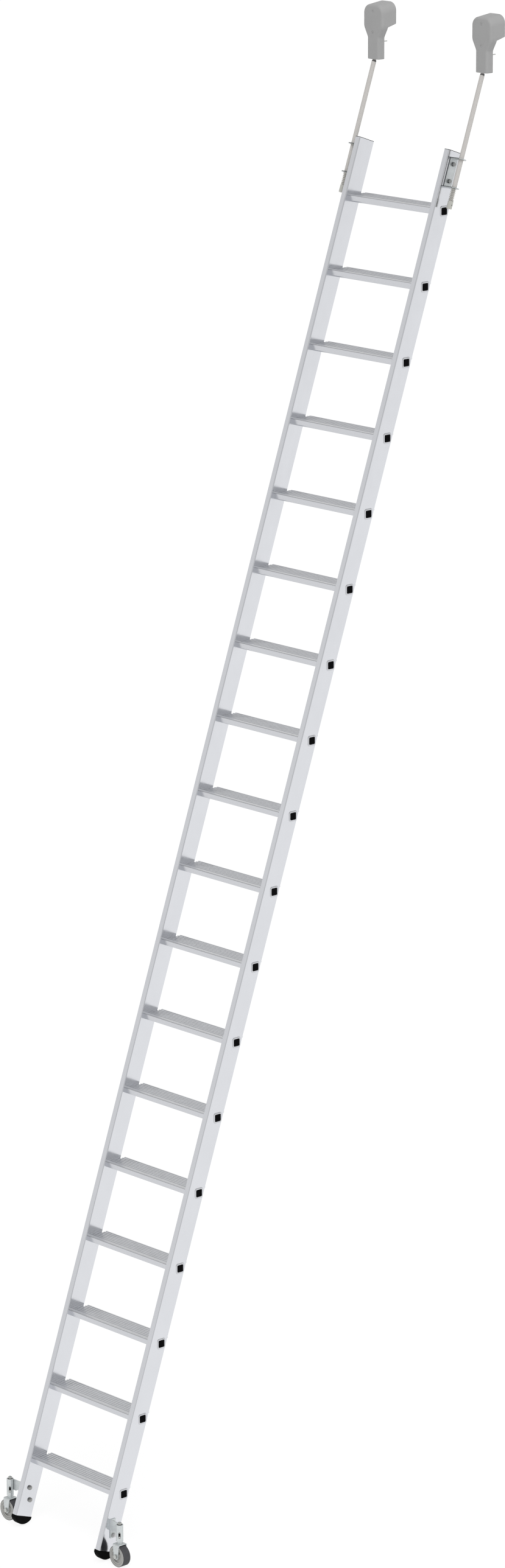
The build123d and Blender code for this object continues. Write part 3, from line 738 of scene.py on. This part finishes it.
@dataclass
class StileTube:
    """A hollow stile with rounded corners and level square openings for the tenons, in millimetres."""

    plan: LadderPlan
    thickness: float = 25.0
    depth: float = 75.0
    wall: float = 2.2
    corner: float = 4.0
    behind_tenon: float = 25.0
    tail: float = 215.0
    head: float = 215.0
    opening: float = 28.2
    band: float = 30.0
    steps: int = 6
    sharp: float = 30.0

    def rows(self) -> list[float]:
        """List where the stile's faces meet: at its ends and on both sides of every opening.

        Returns:
            Distances along the stile.
        """
        centres = [index * self.plan.tread_pitch for index in range(self.plan.tread_count)]
        edges = [centre + way * self.band for centre in centres for way in (-1, 1)]
        return [-self.tail, *edges, centres[-1] + self.head]

    def outline(self, inset: float) -> list[Pair]:
        """The rounded rectangle of the outer skin, or of the bore inside it.

        Args:
            inset: How far inside the outer skin the outline lies.

        Returns:
            Its corners in order, across and through the stile from its middle.
        """
        radius = self.corner - inset
        points = []
        for quarter, (across, through) in enumerate(((1, 1), (-1, 1), (-1, -1), (1, -1))):
            for step in range(self.steps + 1):
                turn = math.pi / 2 * (quarter + step / self.steps)
                points.append((across * (self.thickness / 2 - self.corner) + radius * math.cos(turn),
                               through * (self.depth / 2 - self.corner) + radius * math.sin(turn)))
        return points

    def build(self, name: str, side: Side) -> Mesh:
        """The stile's mesh, in place.

        Args:
            name: The mesh's name.
            side: Which stile.

        Returns:
            The mesh.
        """
        work = bmesh.new()
        rows = self.rows()
        middle = Vector((side.value * (self.plan.outer_width - self.thickness) / 2,
                         self.behind_tenon - self.depth / 2, 0.0))
        lean = self.plan.leaning()
        skins = [[[work.verts.new(lean @ ((middle + Vector((across, through, row))) * MM))
                   for across, through in self.outline(inset)] for row in rows] for inset in (0.0, self.wall)]
        count = 4 * (self.steps + 1)
        walls = (count // 2 - 1, count - 1)
        for level in range(len(rows) - 1):
            for here in range(count):
                if level % 2 and here in walls:
                    self.pierce(work, skins, level, here)
                    continue
                after = (here + 1) % count
                for skin in skins:
                    work.faces.new((skin[level][here], skin[level][after], skin[level + 1][after],
                                    skin[level + 1][here]))
        for level in (0, -1):
            outer, bore = (skin[level] for skin in skins)
            for here in range(count):
                after = (here + 1) % count
                work.faces.new((outer[here], outer[after], bore[after], bore[here]))
        bmesh.ops.recalc_face_normals(work, faces=work.faces)
        for face in work.faces:
            face.smooth = True
        mesh = Workshop.mesh(name, work)
        mesh.set_sharp_from_angle(angle=math.radians(self.sharp))
        return mesh

    def pierce(self, work: bmesh.types.BMesh, skins: list[list[list[bmesh.types.BMVert]]], level: int,
               here: int) -> None:
        """Open one wall for a tenon, with a frame of faces on both of its skins and the cut edges between.

        Args:
            work: The mesh in the making.
            skins: Corners of the outer skin and of the bore, by row and place in the outline.
            level: The row below the opening.
            here: The place in the outline where the wall starts.
        """
        after = (here + 1) % len(skins[0][level])
        centre = self.plan.tenon(level // 2)
        squares = []
        for skin in skins:
            cell = [skin[level][here], skin[level][after], skin[level + 1][after], skin[level + 1][here]]
            through = 1 if skin[level][here].co.y > skin[level][after].co.y else -1
            signs = ((through, -1), (-through, -1), (-through, 1), (through, 1))
            square = []
            for corner, (along, up) in zip(cell, signs):
                place = centre + Vector((0.0, along, up)) * self.opening / 2 * MM
                place.x = corner.co.x
                square.append(work.verts.new(place))
            for first in range(4):
                second = (first + 1) % 4
                work.faces.new((cell[first], cell[second], square[second], square[first]))
            squares.append(square)
        for first in range(4):
            second = (first + 1) % 4
            work.faces.new((squares[0][first], squares[0][second], squares[1][second], squares[1][first]))


@dataclass
class LadderFrame:
    """Stiles, treads, plugs and feet."""

    plan: LadderPlan
    stile_finish: DrawnMetal = DrawnMetal("bright_aluminium", (0.738, 0.75, 0.783), 0.13,
                                          (420.0, 420.0, 2.5), math.radians(LEAN), line_depth=0.000006)
    tread_finish: TreadMetal = TreadMetal("ribbed_aluminium", (0.64, 0.65, 0.68), (0.79, 0.80, 0.82), 0.24,
                                          0.33, (3.0, 700.0, 700.0))
    plug_finish: Moulded = Moulded("black_plugs", (0.003, 0.003, 0.0035), 0.5, gloss=0.02)
    foot_finish: Rubber = Rubber("black_feet", (0.003, 0.003, 0.003), (0.007, 0.007, 0.007), 0.62, 0.03)

    def dress(self, shop: Workshop) -> None:
        """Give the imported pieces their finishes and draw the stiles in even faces.

        Args:
            shop: The workshop.
        """
        tube = StileTube(self.plan)
        for side in Side:
            name = f"stile_tube_{side.label}"
            stile = shop.piece(name, tube.build(name, side), "frame", "bright_aluminium", self.stile_finish)
            shop.even(stile)
            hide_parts(f"stile_{side.label}")
            shop.dress(f"foot_{side.label}", self.foot_finish)
        for index in range(self.plan.tread_count):
            shop.dress(f"tread_{index + 1:02d}", self.tread_finish)
        shop.dress("tread_end_plugs", self.plug_finish)
        shop.dress("stile_top_plugs", self.plug_finish)


@dataclass
class SprungRods:
    """Rod guides, rods, collars and their springs."""

    plan: LadderPlan
    spring: CoilSpring
    spring_low: float = 4797.7
    screw_run: float = 4783.4
    screw_reach: float = 10.6
    socket_radius: float = 2.1
    travel: float = 20.0
    edge: float = 0.4
    # The guides' forward-facing faces are darkened: painted shade.
    guide_finish: Galvanised = Galvanised("galvanised_guides", (0.64, 0.67, 0.68), 0.4, metallic=0.7,
                                          front_shade_way=(0.0, -0.9446, 0.3284))
    sleeve_finish: Moulded = Moulded("pale_bushes", (0.42, 0.42, 0.38), 0.5)
    bolt_finish: Galvanised = Galvanised("dark_bolts", (0.33, 0.335, 0.335), 0.3, 420.0)
    rod_finish: DrawnMetal = DrawnMetal("pale_rods", (0.60, 0.58, 0.56), 0.55, (600.0, 600.0, 4.0),
                                        math.radians(LEAN), metallic=0.3)
    collar_finish: DrawnMetal = DrawnMetal("turned_collars", (0.57, 0.57, 0.53), 0.45, 900.0, metallic=0.5)
    wire_finish: DrawnMetal = WIRE
    socket_shade_finish: Moulded = Moulded("painted_socket_shades", (0.03, 0.03, 0.03), 0.6, gloss=0.2)
    ring_finish: Rubber = Rubber("dark_rings", (0.09, 0.09, 0.09), (0.12, 0.12, 0.12), 0.6, 0.1)

    def dress(self, shop: Workshop) -> None:
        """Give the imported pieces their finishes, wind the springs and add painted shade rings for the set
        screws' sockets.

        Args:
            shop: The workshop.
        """
        shop.dress("rod_guide_sleeves", self.sleeve_finish)
        shop.dress("rod_guide_bolts", self.bolt_finish)
        for side in Side:
            shop.dress(f"rod_guide_{side.label}", self.guide_finish)
            shop.soften(f"rod_guide_{side.label}", self.edge * MM)
            shop.dress(f"rod_{side.label}", self.rod_finish)
            shop.dress(f"rod_collar_{side.label}", self.collar_finish)
            shop.dress(f"rod_bumper_{side.label}", self.ring_finish)
            self.wind(shop, side)
            self.socket(shop, side)

    def socket(self, shop: Workshop, side: Side) -> None:
        """A dark six-sided ring on the set screw of one collar: painted shade for its socket's recess.

        Args:
            shop: The workshop.
            side: Which rod.
        """
        way = Vector((side.value, 0.0, 0.0))
        face = self.plan.on_rod(side, self.screw_run) + way * self.screw_reach * MM
        name = f"set_screw_socket_shade_{side.label}"
        shop.piece(name, shop.drive_shade_ring(name, face, way, self.socket_radius * MM), f"rod_{side.label}",
                   "black_plastic", self.socket_shade_finish)

    def wind(self, shop: Workshop, side: Side) -> None:
        """Wind one rod spring.

        Args:
            shop: The workshop.
            side: Which rod.
        """
        lean = self.plan.leaning()
        foot = self.plan.on_rod(side, self.spring_low)
        base = Matrix.Translation(foot) @ lean.to_3x3().to_4x4()
        name = f"rod_coil_{side.label}"
        coil = shop.piece(name, self.spring.build(shop, name, base), f"rod_{side.label}", "spring_steel",
                          self.wire_finish)
        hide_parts(f"rod_spring_{side.label}")
        tuple(self.plan.along())
        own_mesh(coil)


@dataclass
class RollerHeads:
    """Hooded heads with their carriers, pins and rollers."""

    plan: LadderPlan
    screw_face: float = -17.2
    screw_heights: Pair = (77.0, 155.0)
    drive_radius: float = 2.0
    cover_finish: Moulded = Moulded("grey_covers", (0.35, 0.35, 0.35), 0.5, gloss=0.3)
    sheet_finish: Galvanised = SHEET
    pin_finish: Galvanised = ZINC
    roller_finish: Moulded = Moulded("dark_rollers", (0.03, 0.03, 0.032), 0.4)
    screw_finish: Galvanised = Galvanised("dulled_screws", (0.52, 0.52, 0.52), 0.45, 420.0)
    drive_shade_finish: Moulded = Moulded("painted_drive_shades", (0.16, 0.16, 0.16), 0.6, gloss=0.2)

    def dress(self, shop: Workshop) -> None:
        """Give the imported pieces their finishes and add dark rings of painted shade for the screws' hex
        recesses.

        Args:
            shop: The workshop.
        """
        for side in Side:
            shop.dress(f"head_cover_{side.label}", self.cover_finish)
            shop.dress(f"head_carrier_{side.label}", self.sheet_finish)
            shop.dress(f"head_pins_{side.label}", self.pin_finish)
            shop.dress(f"head_screws_{side.label}", self.screw_finish)
            shop.dress(f"rail_roller_{side.label}", self.roller_finish)
            self.drive_shade_rings(shop, side)

    def drive_shade_rings(self, shop: Workshop, side: Side) -> None:
        """Dark six-sided rings on one cover's screws: painted shade for their hex recesses.

        Args:
            shop: The workshop.
            side: Which head.
        """
        pivot = self.plan.on_rod(side, self.plan.pivot_run)
        faces = [pivot + Vector((0.0, self.screw_face, height)) * MM for height in self.screw_heights]
        way = Vector((0.0, -1.0, 0.0))
        rings = [shop.drive_shade_ring("drive_shade_ring", face, way, self.drive_radius * MM) for face in faces]
        shop.piece(f"painted_drive_shades_{side.label}", shop.join("painted_drive_shades", rings), f"head_{side.label}",
                   "black_plastic", self.drive_shade_finish)


@dataclass
class SprungCastors:
    """Castor brackets, forks, springs and wheels."""

    plan: LadderPlan
    spring: CoilSpring
    spring_low: float = 124.3
    travel: float = 8.0
    edge: float = 0.5
    tube_radius: float = 13.0
    web_faces: Pair = (7.0, 11.0)
    web_span: Pair = (116.5, 155.8)
    above_slot: float = 134.5
    bead_radius: float = 1.7
    bolt_depth: float = -53.8
    bolt_heights: Pair = (95.1, 142.6)
    nut_seat: float = 249.0
    inner_face: float = 220.0
    cover_size: Triple = (9.0, 3.0, 5.0)
    cover_gap: float = 0.05
    cover_steps: int = 8
    nut_height: float = 6.5
    stud_top: float = 165.3
    tip: float = 2.4
    thread_radius: float = 4.0
    thread_pitch: float = 1.25
    washer: tuple[Pair, ...] = ((7.7, 0.1), (8.8, 0.1), (9.1, 0.4), (9.1, 1.2), (8.8, 1.5),
                                               (7.7, 1.5))
    sheet_finish: Galvanised = SHEET
    # The forks' stems are darkened in a band of heights: painted shade inside the tube's slot.
    fork_finish: Galvanised = replace(SHEET, name="galvanised_forks", band_shade_heights=(0.104, 0.15))
    bolt_finish: Galvanised = ZINC
    nut_finish: Galvanised = Galvanised("pale_nuts", (0.80, 0.80, 0.81), 0.4, 420.0, metallic=0.6)
    cover_finish: Galvanised = Galvanised("bolt_covers", (0.34, 0.34, 0.335), 0.25, 420.0)
    cap_finish: Moulded = Moulded("dark_caps", (0.05, 0.05, 0.052), 0.5)
    bead_finish: DrawnMetal = DrawnMetal("weld_beads", (0.16, 0.165, 0.17), 0.45, 700.0)
    wire_finish: DrawnMetal = WIRE
    hub_finish: Moulded = Moulded("grey_hubs", (0.39, 0.39, 0.375), 0.45)
    tyre_finish: Rubber = Rubber("grey_tyres", (0.055, 0.055, 0.06), (0.085, 0.085, 0.09), 0.62, 0.25, 55.0)

    def dress(self, shop: Workshop) -> None:
        """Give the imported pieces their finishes, wind the springs and add welds and fasteners.

        Args:
            shop: The workshop.
        """
        shop.dress("castor_housing_bolts", self.nut_finish)
        shop.dress("castor_top_caps", self.cap_finish)
        for side in Side:
            shop.dress(f"castor_housing_{side.label}", self.sheet_finish)
            shop.dress(f"castor_fork_{side.label}", self.fork_finish)
            for part in ("housing", "fork"):
                shop.soften(f"castor_{part}_{side.label}", self.edge * MM)
            shop.dress(f"castor_pins_{side.label}", self.bolt_finish)
            shop.dress(f"wheel_hub_{side.label}", self.hub_finish)
            shop.dress(f"wheel_tyre_{side.label}", self.tyre_finish)
            self.wind(shop, side)
            self.beads(shop, side)
            self.fasteners(shop, side)
            self.covers(shop, side)

    def beads(self, shop: Workshop, side: Side) -> None:
        """The two weld beads between a castor's tube and its web.

        The right tube's slot comes out beside the web, so the beads start above it there.

        Args:
            shop: The workshop.
            side: Which castor.
        """
        low, high = self.web_span
        if side is Side.RIGHT:
            low = self.above_slot
        seams = []
        for face in self.web_faces:
            reach = math.sqrt(self.tube_radius ** 2 - face ** 2)
            ends = [self.plan.on_castor(side, height) + Vector((-side.value * reach, face, 0.0)) * MM
                    for height in (low, high)]
            seams.append(shop.weld("seam", ends[0], ends[1], self.bead_radius * MM))
        shop.piece(f"castor_welds_{side.label}", shop.join("castor_welds", seams), "frame",
                   "galvanised_steel", self.bead_finish)

    def fasteners(self, shop: Workshop, side: Side) -> None:
        """Washers round the bracket's nuts, and the threads on the bolt tips and on the stud.

        Args:
            shop: The workshop.
            side: Which castor.
        """
        way = Vector((side.value, 0.0, 0.0))
        profile = [(across * MM, rise * MM) for across, rise in self.washer]
        thread = (self.tip * MM, self.thread_radius * MM, self.thread_pitch * MM)
        rings, ridges = [], []
        for height in self.bolt_heights:
            foot = Vector((side.value * self.nut_seat, self.bolt_depth + self.plan.shift, height)) * MM
            rings.append(shop.lathe("washer", profile, shop.pointing(foot, way)))
            ridges.append(shop.thread("ridge", foot + way * self.nut_height * MM, way, *thread))
        shop.piece(f"castor_washers_{side.label}", shop.join("castor_washers", rings), "frame",
                   "zinc_fasteners", self.bolt_finish)
        shop.piece(f"bolt_threads_{side.label}", shop.join("bolt_threads", ridges), "frame",
                   "zinc_fasteners", self.bolt_finish)
        top = self.plan.on_castor(side, self.stud_top)
        stud = shop.thread("stud_thread", top, UP, *thread)
        shop.piece(f"stud_thread_{side.label}", stud, f"castor_{side.label}", "zinc_fasteners",
                   self.bolt_finish)

    def covers(self, shop: Workshop, side: Side) -> None:
        """Domed covers over the heads of the bracket's bolts, on the stile's inner face.

        Args:
            shop: The workshop.
            side: Which castor.
        """
        radius, skirt, crown = self.cover_size
        bends = [math.pi / 2 * step / self.cover_steps for step in range(self.cover_steps)]
        dome = [(radius * math.cos(bend), skirt + crown * math.sin(bend)) for bend in bends]
        profile = [(radius, self.cover_gap), *dome]
        domes = []
        for height in self.bolt_heights:
            foot = Vector((side.value * self.inner_face, self.bolt_depth + self.plan.shift, height)) * MM
            domes.append(shop.turned("cover", foot, Vector((-side.value, 0.0, 0.0)), profile))
        shop.piece(f"bolt_covers_{side.label}", shop.join("bolt_covers", domes), "frame", "zinc_fasteners",
                   self.cover_finish)

    def wind(self, shop: Workshop, side: Side) -> None:
        """Wind one castor spring on the shoulder it stands on.

        Args:
            shop: The workshop.
            side: Which castor.
        """
        foot = self.plan.on_castor(side, self.spring_low)
        name = f"castor_coil_{side.label}"
        coil = shop.piece(name, self.spring.build(shop, name, Matrix.Translation(foot)),
                          f"castor_{side.label}", "spring_steel", self.wire_finish)
        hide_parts(f"castor_spring_{side.label}")
        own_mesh(coil)


@dataclass
class Studio:
    """White surroundings, a pale floor, soft lamps and the camera."""

    camera_place: Triple = (14.67905, -13.22944, 7.6810)
    heading: float = 47.92
    pitch: float = 14.17
    roll: float = -0.11
    focal_pixels: float = 9231.5
    image: tuple[int, int] = (829, 2576)
    film: float = 36.0
    clip_end: float = 200.0
    ambient: float = 0.54
    tent_level: float = 0.8
    dim_way: Triple = (0.721, -0.649, 0.243)
    dim_level: float = 0.78
    sky_level: float = 0.4
    tent_heights: Pair = (0.24, 0.8)
    dim_cone: Pair = (0.72, 0.95)
    dim_floor: Pair = (1.5, 5.0)
    floor_reach: float = 60.0
    floor_grey: float = 0.88
    floor_glow: float = 1.04
    floor_share: float = 0.86
    key_way: Triple = (-0.5, 0.38, -0.78)
    key_strength: float = 1.8
    key_angle: float = 40.0
    fill_way: Triple = (-0.48, -0.61, -0.63)
    fill_strength: float = 0.25
    fill_angle: float = 60.0

    def build(self) -> None:
        """Set up the whole studio."""
        self.surround()
        self.floor()
        self.lamp("key", self.key_way, self.key_strength, self.key_angle)
        self.lamp("fill", self.fill_way, self.fill_strength, self.fill_angle)
        self.camera()

    def surround(self) -> None:
        """White to the eye, a light tent with a dim side and top in reflections, even light elsewhere."""
        scene = bpy.context.scene
        scene.view_settings.view_transform = "Standard"
        world = bpy.data.worlds.new("studio")
        scene.world = world
        world.use_nodes = True
        bench = NodeBench(world.node_tree)
        way = bench.node("TexCoord").outputs["Generated"]
        height = bench.node("SeparateXYZ", {0: way}).outputs["Z"]
        tent = bench.ramp(height, self.tent_heights, (self.tent_level, self.sky_level))
        dim = bench.ramp(bench.dot(way, self.dim_way), self.dim_cone, (1.0, self.dim_level))
        soft = bench.between(bench.shiny(), self.ambient, bench.math("MULTIPLY", tent, dim))
        level = bench.between(bench.seen(), soft, 1.0)
        light = bench.node("Background", {"Color": (1.0, 1.0, 1.0, 1.0), "Strength": level})
        bench.node("OutputWorld", {"Surface": light.outputs["Background"]})

    def floor(self) -> None:
        """A wide pale floor, white to the eye with a soft shadow, and dim in reflections far in front."""
        work = bmesh.new()
        bmesh.ops.create_grid(work, x_segments=1, y_segments=1, size=self.floor_reach)
        mesh = Workshop.mesh("floor", work)
        made = bpy.data.objects.new("floor", mesh)
        bpy.context.scene.collection.objects.link(made)
        board = Board("pale_floor")
        place = board.node("NewGeometry").outputs["Position"]
        ahead = board.dot(place, (self.dim_way[0], self.dim_way[1], 0.0))
        near = board.ramp(ahead, self.dim_floor, (1.0, self.dim_level))
        glossy = board.shiny()
        shown = board.math("MAXIMUM", glossy, board.seen())
        share = board.math("MULTIPLY", shown, self.floor_share)
        dull = board.node("BsdfDiffuse", {"Color": (self.floor_grey, self.floor_grey, self.floor_grey, 1.0)})
        white = board.node("Emission", {"Strength": board.between(glossy, self.floor_glow, near)})
        both = board.node("MixShader", {0: share, 1: dull.outputs[0], 2: white.outputs[0]})
        board.tree.links.new(both.outputs[0], board.output.inputs["Surface"])
        mesh.materials.append(board.material)

    @staticmethod
    def lamp(name: str, way: Triple, strength: float, softness: float) -> None:
        """A distant soft lamp that casts light and shadow but leaves no glare in the metal.

        Args:
            name: The lamp's name.
            way: The direction in which its light travels.
            strength: Its strength.
            softness: The angle that it fills in the sky, in degrees.
        """
        data = bpy.data.lights.new(name, "SUN")
        data.energy = strength
        data.angle = math.radians(softness)
        made = bpy.data.objects.new(name, data)
        made.rotation_euler = (-UP).rotation_difference(Vector(way)).to_euler()
        made.visible_glossy = False
        bpy.context.scene.collection.objects.link(made)

    def camera(self) -> None:
        """The camera at the photograph's place and angle."""
        heading = math.radians(self.heading)
        pitch = math.radians(self.pitch)
        roll = math.radians(self.roll)
        right = Vector((math.cos(heading), math.sin(heading), 0.0))
        ahead = Vector((-math.sin(heading) * math.cos(pitch), math.cos(heading) * math.cos(pitch),
                        -math.sin(pitch)))
        above = right.cross(ahead)
        right_rolled = right * math.cos(roll) + above * math.sin(roll)
        above_rolled = above * math.cos(roll) - right * math.sin(roll)
        turn = Matrix((right_rolled, above_rolled, -ahead)).transposed().to_4x4()
        data = bpy.data.cameras.new("photograph")
        data.sensor_width = self.film
        data.sensor_fit = "AUTO"
        data.lens = self.focal_pixels * self.film / max(self.image)
        data.clip_end = self.clip_end
        made = bpy.data.objects.new("photograph", data)
        made.matrix_world = Matrix.Translation(self.camera_place) @ turn
        bpy.context.scene.collection.objects.link(made)
        bpy.context.scene.camera = made


def main() -> None:
    """Build every class in order."""
    logging.basicConfig(level=logging.INFO, format="%(message)s")
    plan = LadderPlan()
    shop = Workshop()
    Studio().build()
    LadderFrame(plan).dress(shop)
    SprungRods(plan, CoilSpring(diameter=20.5, wire=2.5, turns=8, length=46.0)).dress(shop)
    RollerHeads(plan).dress(shop)
    SprungCastors(plan, CoilSpring(diameter=19.0, wire=2.2, turns=5, length=28.9)).dress(shop)


if __name__ == "__main__":
    main()
